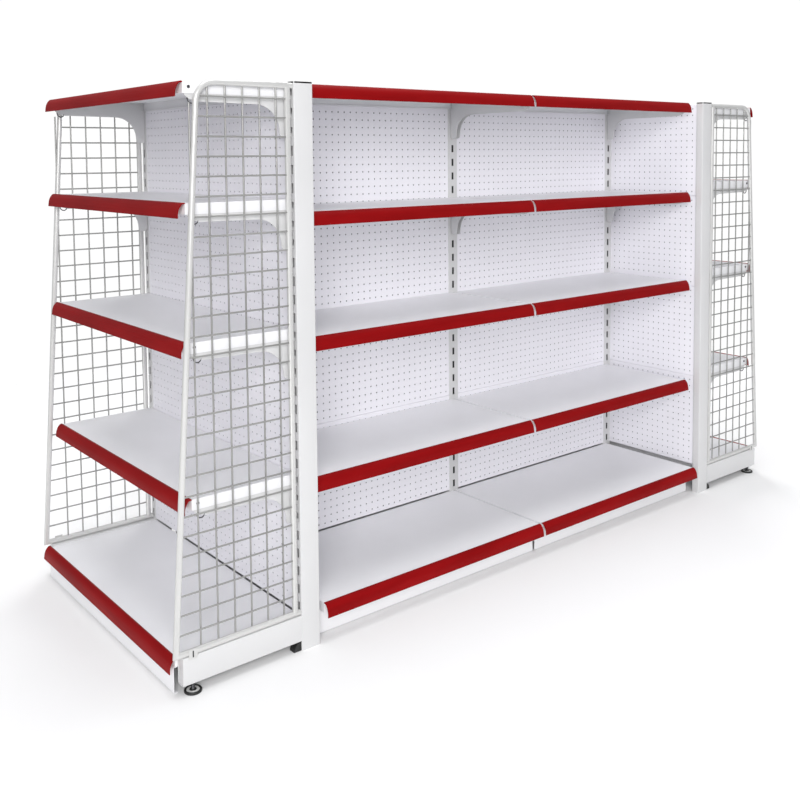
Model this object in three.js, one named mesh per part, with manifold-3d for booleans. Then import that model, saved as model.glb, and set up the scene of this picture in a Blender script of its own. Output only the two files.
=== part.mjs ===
// Double-sided gondola shelving run: two bays long, with a shelving end cap on each end.
// Millimetres, +Z up, origin on the floor under the middle upright. X runs along the gondola,
// the front side faces -Y, the rear side faces +Y, the end caps face -X and +X.

import * as THREE from 'three';
import { mergeVertices } from 'three/addons/utils/BufferGeometryUtils.js';
import Module from 'manifold-3d';

const wasm = await Module();
wasm.setup();

// ---------------------------------------------------------------- driving dimensions

const GAP = 0.3; // clearance between neighbouring solids
const SHEET = 1.2; // thickness of folded sheet steel
const WALL = 2; // wall of the upright and leg tubes

const BAY = 900; // upright to upright
const UPRIGHT_WIDE = 40;
const UPRIGHT_DEEP = 60;
const UPRIGHT_HIGH = 1550;

const SLOT_PITCH = 50;
const SLOT_HIGH = 26;
const SLOT_WIDE = 10;
const SLOT_COUNT = 29;
const MAIN_SLOT_TOP = 145; // top edge of the lowest slot in a main upright
const END_SLOT_TOP = 135; // top edge of the lowest slot in an end column

const LEG_WIDE = 30;
const LEG_UNDERSIDE = 27;
const MAIN_LEG_HIGH = 50;
const MAIN_LEG_REACH = 418; // from the middle of the run
const END_LEG_HIGH = 73;
const END_LEG_REACH = 1333;

const COLUMN_INNER_X = 917;
const COLUMN_OUTER_X = 977;
const COLUMN_INNER_Y = 444;
const COLUMN_OUTER_Y = 474;
const COLUMN_HIGH = 1556;
const COLUMN_SLOT_Y = 460;
const SHOE_REACH = 24;
const SHOE_HIGH = 25;

const FOOT_X = 1300;
const FOOT_RADIUS = 23;
const FOOT_THICK = 7;
const STEM_RADIUS = 5;
const STEM_TOP = 70;
const STEM_CLEARANCE = 0.1;
const ROUND_SEGMENTS = 16;

const PANEL_DEEP = 15;
const MAIN_PANEL_BOTTOM = 110;
const MAIN_PANEL_TOP = 1546;
const END_PANEL_OUTER_X = 976; // face of the skin behind the end shelves
const END_PANEL_INNER_X = 921; // face of the skin that closes the run's bay
const END_OUTER_PANEL_BOTTOM = 102;
const END_INNER_PANEL_BOTTOM = 110;
const END_PANEL_TOP = 1550;

const MAIN_LEVELS = [455, 855, 1205, 1555]; // top edge of each price strip
const END_LEVELS = [495, 895, 1245, 1545];
const MAIN_BASE_LEVEL = 108;
const END_BASE_LEVEL = 100;

const MAIN_SHELF_LONG = 889;
const END_SHELF_LONG = 908;
const END_BASE_LONG = 886;
const MAIN_SHELF_DEEP = 392; // wall to the strip's top edge
const MAIN_BASE_DEEP = 437;
const END_SHELF_DEEP = 317;
const END_BASE_DEEP = 368;
const DECK_DROP = 2; // deck top below the strip's top edge
const DECK_HIGH = 28;
const DECK_SETBACK = 5; // deck lip behind the strip's top edge
const BRACKET_THICK = 3;

const MAIN_KICK_FACE = 400; // wall to the face of the kick plate
const END_KICK_FACE = 368;
const KICK_DEEP = 11.5;
const KICK_BOTTOM = 2;
const KICK_END_GAP = 5;

const GRID_Y = 466; // middle plane of a side grid
const GRID_TUBE = 16;
const GRID_STAND_OFF = 8; // column to the grid's inner upright tube
const GRID_TOP_REACH = 1265;
const GRID_FOOT_REACH = 1356;
const GRID_BOTTOM = 100.5;
const GRID_TOP = 1552;
const GRID_CORNER = 60;
const WIRE_WIDE = 5;
const WIRE_PITCH = 50;
const CROSS_WIRE_PITCH = 300;
const WIRE_COUNT = 6;

// ---------------------------------------------------------------- materials

const whitePaint = { color: 0xf1f2f1, roughness: 0.42, metalness: 0.05 };
const greyWire = { color: 0xd9dad8, roughness: 0.38, metalness: 0.15 };
const blackPlastic = { color: 0x141414, roughness: 0.5, metalness: 0 };

// ---------------------------------------------------------------- solids

function toSolid(geometry) {
  const shell = geometry.clone();
  shell.deleteAttribute('normal');
  shell.deleteAttribute('uv');
  const merged = mergeVertices(shell, 1e-4);
  const mesh = new wasm.Mesh({
    numProp: 3,
    vertProperties: new Float32Array(merged.attributes.position.array),
    triVerts: new Uint32Array(merged.index.array),
  });
  mesh.merge();
  return new wasm.Manifold(mesh);
}

function toGeometry(solid) {
  const mesh = solid.getMesh();
  const geometry = new THREE.BufferGeometry();
  geometry.setAttribute('position', new THREE.BufferAttribute(mesh.vertProperties, 3));
  geometry.setIndex(new THREE.BufferAttribute(mesh.triVerts, 1));
  geometry.computeVertexNormals();
  return geometry;
}

function joinAll(solids) {
  return solids.reduce((whole, next) => whole.add(next));
}

// A box between two corners, given in any order.
function box(xa, xb, ya, yb, za, zb) {
  const geometry = new THREE.BoxGeometry(Math.abs(xb - xa), Math.abs(yb - ya), Math.abs(zb - za));
  geometry.translate((xa + xb) / 2, (ya + yb) / 2, (za + zb) / 2);
  return toSolid(geometry);
}

// A turned solid about a vertical line through (x, y); the profile holds [radius, z] pairs.
function turned(profile, x, y) {
  const points = profile.map(([radius, z]) => new THREE.Vector2(radius, z));
  const geometry = new THREE.LatheGeometry(points, ROUND_SEGMENTS);
  geometry.rotateX(Math.PI / 2);
  geometry.translate(x, y, 0);
  return toSolid(geometry);
}

function rod(radius, x, y, za, zb) {
  return turned([[0, za], [radius, za], [radius, zb], [0, zb]], x, y);
}

// A side profile of [distance from the wall, z] pairs, drawn along X. The shelf's front is -Y.
function sideProfile(profile, xa, xb) {
  const shape = new THREE.Shape(profile.map(([out, z]) => new THREE.Vector2(out, z)));
  const geometry = new THREE.ExtrudeGeometry(shape, { depth: xb - xa, bevelEnabled: false });
  const turn = new THREE.Matrix4().makeBasis(
    new THREE.Vector3(0, -1, 0),
    new THREE.Vector3(0, 0, 1),
    new THREE.Vector3(-1, 0, 0),
  );
  geometry.applyMatrix4(turn);
  geometry.translate(xb, 0, 0);
  return toSolid(geometry);
}

// ---------------------------------------------------------------- shelves

// A folded tray, open underneath, whose top is at z = top and which stands out from the wall.
function tray(long, deep, top, high) {
  const half = long / 2;
  const outer = box(-half, half, -GAP, -deep, top - high, top);
  const inside = box(SHEET - half, half - SHEET, -GAP - SHEET, SHEET - deep, top - high - 1, top - SHEET);
  return outer.subtract(inside);
}

// The price strip: set back at its top edge, curving forward to its bottom edge.
function priceStrip(long, deep) {
  const profile = [
    [deep - DECK_SETBACK - 1, 0],
    [deep, 0],
    [deep + 10, -8],
    [deep + 16, -23],
    [deep + 17, -39],
    [deep + 13, -39],
    [deep + 11, -23],
    [deep + 2, -9],
    [deep - DECK_SETBACK - 1, -9],
  ];
  return sideProfile(profile, -long / 2, long / 2);
}

// A shelf bracket: a tapering arm with a deeper leg at the wall and a hollow curve between.
function bracket(deep, xa, xb) {
  const tip = deep - DECK_SETBACK - 8;
  const profile = [
    [GAP, -DECK_DROP - SHEET / 2],
    [tip, -DECK_DROP - SHEET / 2],
    [tip, -32],
    [tip - 35, -50],
    [135, -52],
    [90, -63],
    [60, -88],
    [46, -116],
    [27, -136],
    [GAP, -136],
  ];
  return sideProfile(profile, xa, xb);
}

// An upper shelf: deck, its two brackets and its price strip. z = 0 is the strip's top edge.
function upperShelf(long, deep) {
  const half = long / 2;
  const deck = tray(long, deep - DECK_SETBACK, -DECK_DROP, DECK_HIGH);
  const leftBracket = bracket(deep, -half, BRACKET_THICK - half);
  const rightBracket = bracket(deep, half - BRACKET_THICK, half);
  return joinAll([deck, leftBracket, rightBracket, priceStrip(long, deep)]);
}

function baseDeck(long, stripLong, deep) {
  const deck = tray(long, deep - DECK_SETBACK, -DECK_DROP, DECK_HIGH);
  return deck.add(priceStrip(stripLong, deep));
}

// A kick plate standing on its long edge with both edges folded back.
function kickPlate(long, face, high) {
  const half = long / 2;
  const outer = box(-half, half, -face, KICK_DEEP - face, 0, high);
  const inside = box(-half - 1, half + 1, SHEET - face, KICK_DEEP - face + 1, SHEET, high - SHEET);
  return outer.subtract(inside);
}

// ---------------------------------------------------------------- uprights and panels

function slotCutters(topOfLowest, cutter) {
  const cutters = [];
  for (let i = 0; i < SLOT_COUNT; i += 1) {
    const top = topOfLowest + i * SLOT_PITCH;
    cutters.push(cutter(top - SLOT_HIGH, top));
  }
  return cutters;
}

// A main upright: slotted tube with a base leg and a levelling foot on each side.
function mainUpright() {
  const halfWide = UPRIGHT_WIDE / 2;
  const halfDeep = UPRIGHT_DEEP / 2;
  const halfLeg = LEG_WIDE / 2;
  const legTop = LEG_UNDERSIDE + MAIN_LEG_HIGH;
  const footY = MAIN_LEG_REACH - 30;
  let solid = box(-halfWide, halfWide, -halfDeep, halfDeep, 0, UPRIGHT_HIGH);
  for (const side of [-1, 1]) {
    const leg = box(-halfLeg, halfLeg, side * (halfDeep - 1), side * MAIN_LEG_REACH, LEG_UNDERSIDE, legTop);
    const hollow = box(
      WALL - halfLeg,
      halfLeg - WALL,
      side * (halfDeep + WALL),
      side * (MAIN_LEG_REACH + 1),
      LEG_UNDERSIDE + WALL,
      legTop - WALL,
    );
    const disc = rod(FOOT_RADIUS, 0, side * footY, 0, FOOT_THICK);
    const stem = rod(STEM_RADIUS, 0, side * footY, FOOT_THICK - 1, LEG_UNDERSIDE + 1);
    solid = solid.add(leg.subtract(hollow)).add(disc).add(stem);
  }
  solid = solid.subtract(
    box(WALL - halfWide, halfWide - WALL, WALL - halfDeep, halfDeep - WALL, WALL, UPRIGHT_HIGH + 1),
  );
  const cutters = slotCutters(MAIN_SLOT_TOP, (low, high) =>
    box(-SLOT_WIDE / 2, SLOT_WIDE / 2, -halfDeep - 1, halfDeep + 1, low, high),
  );
  return solid.subtract(joinAll(cutters));
}

// An end column: slotted tube on a black shoe, with the base leg that carries the end cap.
function endColumn(sx, sy) {
  const legInnerY = COLUMN_OUTER_Y - LEG_WIDE;
  const legTop = LEG_UNDERSIDE + END_LEG_HIGH - GAP;
  const column = box(
    sx * COLUMN_INNER_X, sx * COLUMN_OUTER_X, sy * COLUMN_INNER_Y, sy * COLUMN_OUTER_Y, 0, COLUMN_HIGH,
  );
  const bore = box(
    sx * (COLUMN_INNER_X + WALL), sx * (COLUMN_OUTER_X - WALL),
    sy * (COLUMN_INNER_Y + WALL), sy * (COLUMN_OUTER_Y - WALL), WALL, COLUMN_HIGH + 1,
  );
  const leg = box(
    sx * (COLUMN_OUTER_X - 1), sx * END_LEG_REACH, sy * legInnerY, sy * COLUMN_OUTER_Y, LEG_UNDERSIDE, legTop,
  );
  const legHollow = box(
    sx * (COLUMN_OUTER_X + WALL), sx * (END_LEG_REACH + 1),
    sy * (legInnerY + WALL), sy * (COLUMN_OUTER_Y - WALL), LEG_UNDERSIDE + WALL, legTop - WALL,
  );
  const shoe = box(
    sx * (COLUMN_OUTER_X - 1), sx * (COLUMN_OUTER_X + SHOE_REACH),
    sy * (COLUMN_INNER_Y + 6), sy * (COLUMN_OUTER_Y - 6), 0, SHOE_HIGH,
  );
  const stemHole = rod(
    STEM_RADIUS + STEM_CLEARANCE, sx * FOOT_X, sy * (COLUMN_OUTER_Y - LEG_WIDE / 2),
    LEG_UNDERSIDE - 1, LEG_UNDERSIDE + WALL + 1,
  );
  const cutters = slotCutters(END_SLOT_TOP, (low, high) =>
    box(
      sx * (COLUMN_OUTER_X - WALL - 1), sx * (COLUMN_OUTER_X + 1),
      sy * (COLUMN_SLOT_Y - SLOT_WIDE / 2), sy * (COLUMN_SLOT_Y + SLOT_WIDE / 2), low, high,
    ),
  );
  const slotted = column.subtract(bore).subtract(joinAll(cutters));
  return slotted.add(leg.subtract(legHollow)).add(shoe).subtract(stemHole);
}

function levellingFoot() {
  return turned([[0, 0], [FOOT_RADIUS, 0], [FOOT_RADIUS, FOOT_THICK - 2], [FOOT_RADIUS - 2, FOOT_THICK],
    [STEM_RADIUS, FOOT_THICK], [STEM_RADIUS, STEM_TOP], [0, STEM_TOP]], 0, 0);
}

// A panel folded back along its four edges; its face is at y = 0 and looks towards -Y.
function foldedPanel(long, za, zb) {
  const half = long / 2;
  const outer = box(-half, half, 0, PANEL_DEEP, za, zb);
  const inside = box(SHEET - half, half - SHEET, SHEET, PANEL_DEEP + 1, za + SHEET, zb - SHEET);
  return outer.subtract(inside);
}

// ---------------------------------------------------------------- side grids

// Outer edge of the side grid at a height: it leans in towards the top.
function gridReach(z) {
  const up = (z - GRID_BOTTOM) / (GRID_TOP - GRID_BOTTOM);
  return GRID_FOOT_REACH + (GRID_TOP_REACH - GRID_FOOT_REACH) * up;
}

function gridOutline(inner, inset, corner) {
  const low = GRID_BOTTOM + inset;
  const high = GRID_TOP - inset;
  const points = [[inner, low], [gridReach(low) - inset, low]];
  const steps = 6;
  const centre = [gridReach(high - corner) - inset - corner, high - corner];
  for (let i = 0; i <= steps; i += 1) {
    const angle = (Math.PI / 2) * (i / steps);
    points.push([centre[0] + corner * Math.cos(angle), centre[1] + corner * Math.sin(angle)]);
  }
  points.push([inner, high]);
  return points;
}

// A wire side grid in its tube frame, standing in the XZ plane.
function sideGrid(sx, sy) {
  const flat = (points) => {
    const placed = points.map(([x, z]) => new THREE.Vector2(sx * x, z));
    return sx < 0 ? placed.reverse() : placed;
  };
  const tubeInner = COLUMN_OUTER_X + GRID_STAND_OFF;
  const shape = new THREE.Shape(flat(gridOutline(COLUMN_OUTER_X + GAP, 0, GRID_CORNER)));
  const opening = gridOutline(tubeInner + GRID_TUBE, GRID_TUBE, GRID_CORNER - GRID_TUBE);
  shape.holes.push(new THREE.Path(flat(opening)));
  const geometry = new THREE.ExtrudeGeometry(shape, { depth: GRID_TUBE, bevelEnabled: false });
  geometry.rotateX(Math.PI / 2);
  geometry.translate(0, sy * GRID_Y + GRID_TUBE / 2, 0);
  const middle = sy * GRID_Y;
  const halfWire = WIRE_WIDE / 2;
  const slit = box(
    sx * COLUMN_OUTER_X, sx * tubeInner, middle - GRID_TUBE, middle + GRID_TUBE,
    GRID_BOTTOM + GRID_TUBE, GRID_TOP - GRID_TUBE,
  );
  const pieces = [toSolid(geometry).subtract(slit)];
  for (let i = 1; i <= WIRE_COUNT; i += 1) {
    const x = COLUMN_OUTER_X + i * WIRE_PITCH;
    const overTop = x + GRID_TUBE > gridReach(GRID_TOP);
    const top = overTop ? GRID_TOP - GRID_CORNER : GRID_TOP - GRID_TUBE / 2;
    pieces.push(box(
      sx * (x - halfWire), sx * (x + halfWire), middle - halfWire, middle + halfWire,
      GRID_BOTTOM + GRID_TUBE / 2, top,
    ));
  }
  for (let z = GRID_BOTTOM + CROSS_WIRE_PITCH; z < GRID_TOP - GRID_CORNER; z += CROSS_WIRE_PITCH) {
    pieces.push(box(
      sx * (tubeInner + GRID_TUBE / 2), sx * (gridReach(z) - GRID_TUBE / 2),
      middle - halfWire, middle + halfWire, z - halfWire, z + halfWire,
    ));
  }
  return joinAll(pieces);
}

// ---------------------------------------------------------------- assembly

const group = new THREE.Group();

function place(name, solid, paint, x, y, z, turn) {
  const mesh = new THREE.Mesh(toGeometry(solid), new THREE.MeshStandardMaterial(paint));
  mesh.name = name;
  mesh.position.set(x, y, z);
  mesh.rotation.z = turn;
  group.add(mesh);
}

// The four faces of the main run and the two end caps: where each stands and which way it looks.
const wallY = UPRIGHT_DEEP / 2;
const mainFaces = [
  { name: 'front_left', x: -BAY / 2, y: -wallY, turn: 0 },
  { name: 'front_right', x: BAY / 2, y: -wallY, turn: 0 },
  { name: 'rear_left', x: -BAY / 2, y: wallY, turn: Math.PI },
  { name: 'rear_right', x: BAY / 2, y: wallY, turn: Math.PI },
];
const endFaces = [
  { name: 'end_left', x: -COLUMN_OUTER_X, y: 0, turn: -Math.PI / 2 },
  { name: 'end_right', x: COLUMN_OUTER_X, y: 0, turn: Math.PI / 2 },
];

const mainShelf = upperShelf(MAIN_SHELF_LONG, MAIN_SHELF_DEEP);
const endShelf = upperShelf(END_SHELF_LONG, END_SHELF_DEEP);
const mainBase = baseDeck(MAIN_SHELF_LONG, MAIN_SHELF_LONG, MAIN_BASE_DEEP);
const endBase = baseDeck(END_BASE_LONG, END_SHELF_LONG, END_BASE_DEEP);
const mainKickHigh = LEG_UNDERSIDE + MAIN_LEG_HIGH - KICK_BOTTOM;
const endKickHigh = END_BASE_LEVEL - DECK_DROP - DECK_HIGH - GAP - KICK_BOTTOM;
const mainKick = kickPlate(BAY - 2 * KICK_END_GAP, MAIN_KICK_FACE, mainKickHigh);
const endKick = kickPlate(END_BASE_LONG, END_KICK_FACE, endKickHigh);
const mainPanel = foldedPanel(BAY - UPRIGHT_WIDE - 2 * GAP, MAIN_PANEL_BOTTOM, MAIN_PANEL_TOP);
const endPanelLong = 2 * (COLUMN_INNER_Y - GAP);
const endOuterPanel = foldedPanel(endPanelLong, END_OUTER_PANEL_BOTTOM, END_PANEL_TOP);
const endInnerPanel = foldedPanel(endPanelLong, END_INNER_PANEL_BOTTOM, END_PANEL_TOP);

for (const face of mainFaces) {
  const facing = Math.cos(face.turn);
  MAIN_LEVELS.forEach((level, i) => {
    place(`shelf_${face.name}_${i + 1}`, mainShelf, whitePaint, face.x, face.y, level, face.turn);
  });
  place(`base_deck_${face.name}`, mainBase, whitePaint, face.x, face.y, MAIN_BASE_LEVEL, face.turn);
  place(`kick_plate_${face.name}`, mainKick, whitePaint, face.x, face.y, KICK_BOTTOM, face.turn);
  place(`back_panel_${face.name}`, mainPanel, whitePaint, face.x, face.y + facing, 0, face.turn);
}

for (const face of endFaces) {
  const facing = Math.sin(face.turn);
  END_LEVELS.forEach((level, i) => {
    place(`shelf_${face.name}_${i + 1}`, endShelf, whitePaint, face.x, face.y, level, face.turn);
  });
  place(`base_deck_${face.name}`, endBase, whitePaint, face.x, face.y, END_BASE_LEVEL, face.turn);
  place(`kick_plate_${face.name}`, endKick, whitePaint, face.x, face.y, KICK_BOTTOM, face.turn);
  const outerX = facing * END_PANEL_OUTER_X;
  const innerX = facing * END_PANEL_INNER_X;
  place(`back_panel_${face.name}`, endOuterPanel, whitePaint, outerX, 0, 0, face.turn);
  place(`inner_panel_${face.name}`, endInnerPanel, whitePaint, innerX, 0, 0, -face.turn);
}

const upright = mainUpright();
place('upright_left', upright, whitePaint, -BAY, 0, 0, 0);
place('upright_middle', upright, whitePaint, 0, 0, 0, 0);
place('upright_right', upright, whitePaint, BAY, 0, 0, 0);

const foot = levellingFoot();
const footY = COLUMN_OUTER_Y - LEG_WIDE / 2;
for (const [endName, sx] of [['left', -1], ['right', 1]]) {
  for (const [sideName, sy] of [['front', -1], ['rear', 1]]) {
    const name = `${endName}_${sideName}`;
    place(`end_column_${name}`, endColumn(sx, sy), whitePaint, 0, 0, 0, 0);
    place(`side_grid_${name}`, sideGrid(sx, sy), greyWire, 0, 0, 0, 0);
    place(`foot_${name}`, foot, blackPlastic, sx * FOOT_X, sy * footY, 0, 0);
  }
}

export default group;
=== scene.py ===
"""Looks of the gondola shelving unit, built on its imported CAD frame. Metres, +Z up.

X runs along the gondola, the front side faces -Y, the end caps face -X and +X.
Shelves, decks and kick plates are drawn once in a local frame whose wall is y = 0 and whose
front looks towards -Y, and are then turned to the face of the gondola that they stand on.
"""

import math

import bmesh
import bpy
from mathutils import Matrix, Vector


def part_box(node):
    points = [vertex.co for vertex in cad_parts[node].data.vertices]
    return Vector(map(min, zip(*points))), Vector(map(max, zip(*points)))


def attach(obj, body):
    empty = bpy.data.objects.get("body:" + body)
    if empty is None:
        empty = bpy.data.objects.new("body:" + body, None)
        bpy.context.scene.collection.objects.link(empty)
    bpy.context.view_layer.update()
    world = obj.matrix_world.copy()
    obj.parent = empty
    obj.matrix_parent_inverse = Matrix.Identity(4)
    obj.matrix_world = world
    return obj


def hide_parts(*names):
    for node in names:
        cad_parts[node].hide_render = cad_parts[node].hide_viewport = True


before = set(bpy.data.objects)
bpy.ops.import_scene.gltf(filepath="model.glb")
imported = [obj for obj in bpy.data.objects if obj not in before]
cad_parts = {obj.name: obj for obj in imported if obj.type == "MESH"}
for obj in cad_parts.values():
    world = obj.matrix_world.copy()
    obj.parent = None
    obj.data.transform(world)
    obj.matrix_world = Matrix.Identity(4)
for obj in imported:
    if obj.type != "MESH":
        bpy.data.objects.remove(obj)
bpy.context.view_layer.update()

FIXED = "gondola_frame"

SHEET = 0.0012  # folded sheet steel
DECK_DROP = 0.002  # deck top below the price strip's top edge
DECK_HIGH = 0.028
DECK_SETBACK = 0.005  # deck lip behind the price strip's top edge
STRIP_REACH = 0.017  # how far the strip's foot stands out from its top edge
BRACKET_THICK = 0.0027
SLOT_WIDE = 0.010
SLOT_HIGH = 0.026
SLOT_PITCH = 0.050
SLOT_COUNT = 29
HOOK_BASES = (-0.136, -0.086, -0.036)  # undersides of a bracket's hooks, below the strip's top
HOLE_PITCH = 0.025
HOLE_RADIUS = 0.0027
PANELS_PER_FACE = 4
TUBE_WALL = 0.002
LEG_WIDE = 0.030
WIRE_PITCH = 0.050
WIRE_RADIUS = 0.0024
GRID_TUBE_RADIUS = 0.008
FOOT_RADIUS = 0.023

TRAY_BACK_GAP = 0.0004  # between a deck's back edge and its wall
TRAY_HEM = 0.010
TRAY_HEM_END_GAP = 0.004
BRACKET_TOP = -DECK_DROP - SHEET - 0.0003  # upper edge of the arm, under the deck's sheet
BRACKET_INSET = SHEET + 0.0004  # the plate stands inside the deck's folded side
BRACKET_WALL_GAP = 0.0006
HOOK_SIDE_STEP = 0.0068  # from the plate's outer face to the hook's, towards the slot
HOOK_PROFILE = ((-0.0009, 0.0), (0.0026, 0.0), (0.0026, -0.006), (0.0056, -0.006),
                (0.0056, 0.008), (0.0036, 0.010), (-0.0009, 0.010))  # [into the post, up]
CLIP_WIRE_RADIUS = 0.0016
END_BASE_DECK_CUT = 0.022  # the end base decks are this much shorter than their strips
KICK_EDGE_RADIUS = 0.0025
PANEL_LEAST_BORDERS = 0.008  # both unperforated borders of a panel together, at least
PANEL_FOLD = 0.0016
PANEL_JOINT = 0.0008  # gap between stacked panels
PANEL_SHADE_SHEET_INSET = 0.0008
PANEL_SHADE_SHEET_SETBACK = 0.002

UPRIGHT_SLOT_TOP = 0.145  # upper edge of the lowest slot
COLUMN_SLOT_TOP = 0.135
UPRIGHT_HALF_DEEP = 0.030
UPRIGHT_SHADE_BOX_GAP = 0.0095
COLUMN_SHADE_BOX_GAP = 0.0085
COLUMN_WIDE = 0.060
COLUMN_DEEP = 0.030
COLUMN_SLOT_FROM_FACE = 0.014
POST_EDGE_RADIUS = 0.0025
PLUG_RIM = 0.005
PLUG_RISE = 0.0006  # the plug's middle above its rim
MAIN_LEG_HIGH = 0.050
LEG_UNDERSIDE = 0.027
LEG_EDGE_RADIUS = 0.003
LEG_INNER_RADIUS = 0.0012
LEG_TO_GRID_GAP = 0.0008
LEG_PLUG_SUNK = 0.0012
LEG_PLUG_THICK = 0.006
LEG_PLUG_INSET = 0.0022
WEDGE_REACH = 0.024
WEDGE_HIGH = 0.025
WEDGE_INSET = 0.004
MAIN_FOOT_FROM_TIP = 0.030
MAIN_FOOT_INTO_LEG = 0.020
STEM_RADIUS = 0.0046
THREAD_PITCH = 0.0013

GRID_CORNER = 0.060
GRID_STAND_OFF = 0.008
GRID_TOP_SHRINK = 0.091  # how much nearer to the column the outer tube is at the top
GRID_UPRIGHT_WIRES = 6
WIRE_HALF_STEP = 0.002  # upright and level wires lie on opposite sides of the middle
WIRE_TOP_CLEAR = 0.02
TAB_FROM_TUBE = 0.043
TAB_HALF_WIDE = 0.012
TAB_SLOT_RADIUS = 0.0018

FLOOR_RADIUS = 3.3
LIGHT_AIM = (0, 0, 0.75)
CAMERA_AT = (-2.3679, -2.6043, 1.3527)
CAMERA_YAW, CAMERA_PITCH, CAMERA_ROLL = 0.6819, -0.0660, -0.0088
CAMERA_LENS = 42.78  # millimetres on a sensor 36 wide
CAMERA_SHIFT = (0.0073, -0.225)

SAME_POINT = 1e-6
SHADING_ANGLE = 32.0  # degrees between two faces, above which the edge is shaded sharp
RIGHT_ANGLE = math.pi / 2

TURNS = {"front": 0.0, "rear": math.pi, "end_left": -RIGHT_ANGLE, "end_right": RIGHT_ANGLE}
FACES = ("front_left", "front_right", "rear_left", "rear_right", "end_left", "end_right")
CORNERS = (("left", -1), ("right", 1))
SIDES = (("front", -1), ("rear", 1))


# ---------------------------------------------------------------- materials


def new_material(name):
    """A node material, with its tree, its shader and its object coordinates."""
    material = bpy.data.materials.new(name)
    material.use_nodes = True
    tree = material.node_tree
    shader = tree.nodes["Principled BSDF"]
    coords = tree.nodes.new("ShaderNodeTexCoord")
    return material, tree, shader, coords.outputs["Object"]


def noise(tree, coords, scale, detail=2.0, stretch=(1, 1, 1)):
    """A noise factor in object space, stretched along the axes."""
    mapping = tree.nodes.new("ShaderNodeMapping")
    mapping.inputs["Scale"].default_value = stretch
    tree.links.new(coords, mapping.inputs["Vector"])
    node = tree.nodes.new("ShaderNodeTexNoise")
    node.inputs["Scale"].default_value = scale
    node.inputs["Detail"].default_value = detail
    tree.links.new(mapping.outputs["Vector"], node.inputs["Vector"])
    return node.outputs["Fac"]


def ramp(tree, factor, low, high, start=0.3, end=0.7):
    """Runs a factor through a two-stop colour ramp."""
    node = tree.nodes.new("ShaderNodeValToRGB")
    stops = node.color_ramp.elements
    stops[0].position, stops[0].color = start, (*low, 1)
    stops[1].position, stops[1].color = end, (*high, 1)
    tree.links.new(factor, node.inputs["Fac"])
    return node.outputs["Color"]


def spread(tree, factor, low, high):
    """Maps a factor onto a range of values."""
    node = tree.nodes.new("ShaderNodeMapRange")
    node.inputs["From Min"].default_value = 0.3
    node.inputs["From Max"].default_value = 0.7
    node.inputs["To Min"].default_value = low
    node.inputs["To Max"].default_value = high
    tree.links.new(factor, node.inputs["Value"])
    return node.outputs["Result"]


def add_bump(tree, shader, height, strength, distance):
    """Roughens a shader's surface by a height factor."""
    node = tree.nodes.new("ShaderNodeBump")
    node.inputs["Strength"].default_value = strength
    node.inputs["Distance"].default_value = distance
    tree.links.new(height, node.inputs["Height"])
    tree.links.new(node.outputs["Normal"], shader.inputs["Normal"])


def painted(name, low, high, rough_low, rough_high, metallic=0.0):
    """Powder coat: faint cloudiness in colour and gloss over a fine orange-peel skin."""
    material, tree, shader, coords = new_material(name)
    tree.links.new(ramp(tree, noise(tree, coords, 3.5), low, high), shader.inputs["Base Color"])
    gloss = spread(tree, noise(tree, coords, 40.0), rough_low, rough_high)
    tree.links.new(gloss, shader.inputs["Roughness"])
    add_bump(tree, shader, noise(tree, coords, 900.0, 1.0), 0.12, 0.0002)
    shader.inputs["Metallic"].default_value = metallic
    shader.inputs["Specular IOR Level"].default_value = 0.45
    return material


def strip_plastic():
    """Extruded glossy red plastic: fine draw lines along its length and a little mottling."""
    material, tree, shader, coords = new_material("red_strip_plastic")
    shade = noise(tree, coords, 9.0, 3.0, (0.4, 3, 3))
    colour = ramp(tree, shade, (0.20, 0.0012, 0.002), (0.27, 0.0028, 0.004))
    tree.links.new(colour, shader.inputs["Base Color"])
    lines = noise(tree, coords, 60.0, 2.0, (0.05, 8, 8))
    tree.links.new(spread(tree, lines, 0.40, 0.48), shader.inputs["Roughness"])
    add_bump(tree, shader, lines, 0.03, 0.0002)
    shader.inputs["Specular IOR Level"].default_value = 0.08
    return material


def brushed_metal(name, low, high, stretch):
    """Plated steel with a fine drawn grain."""
    material, tree, shader, coords = new_material(name)
    grain = noise(tree, coords, 250.0, 3.0, stretch)
    tree.links.new(ramp(tree, grain, low, high), shader.inputs["Base Color"])
    tree.links.new(spread(tree, grain, 0.26, 0.42), shader.inputs["Roughness"])
    add_bump(tree, shader, grain, 0.15, 0.0001)
    shader.inputs["Metallic"].default_value = 0.9
    return material


def moulded_plastic(name, low, high):
    """Matt plastic with a fine moulded skin."""
    material, tree, shader, coords = new_material(name)
    skin = noise(tree, coords, 600.0, 2.0)
    tree.links.new(ramp(tree, noise(tree, coords, 30.0), low, high), shader.inputs["Base Color"])
    tree.links.new(spread(tree, skin, 0.42, 0.58), shader.inputs["Roughness"])
    add_bump(tree, shader, skin, 0.25, 0.0002)
    return material


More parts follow.
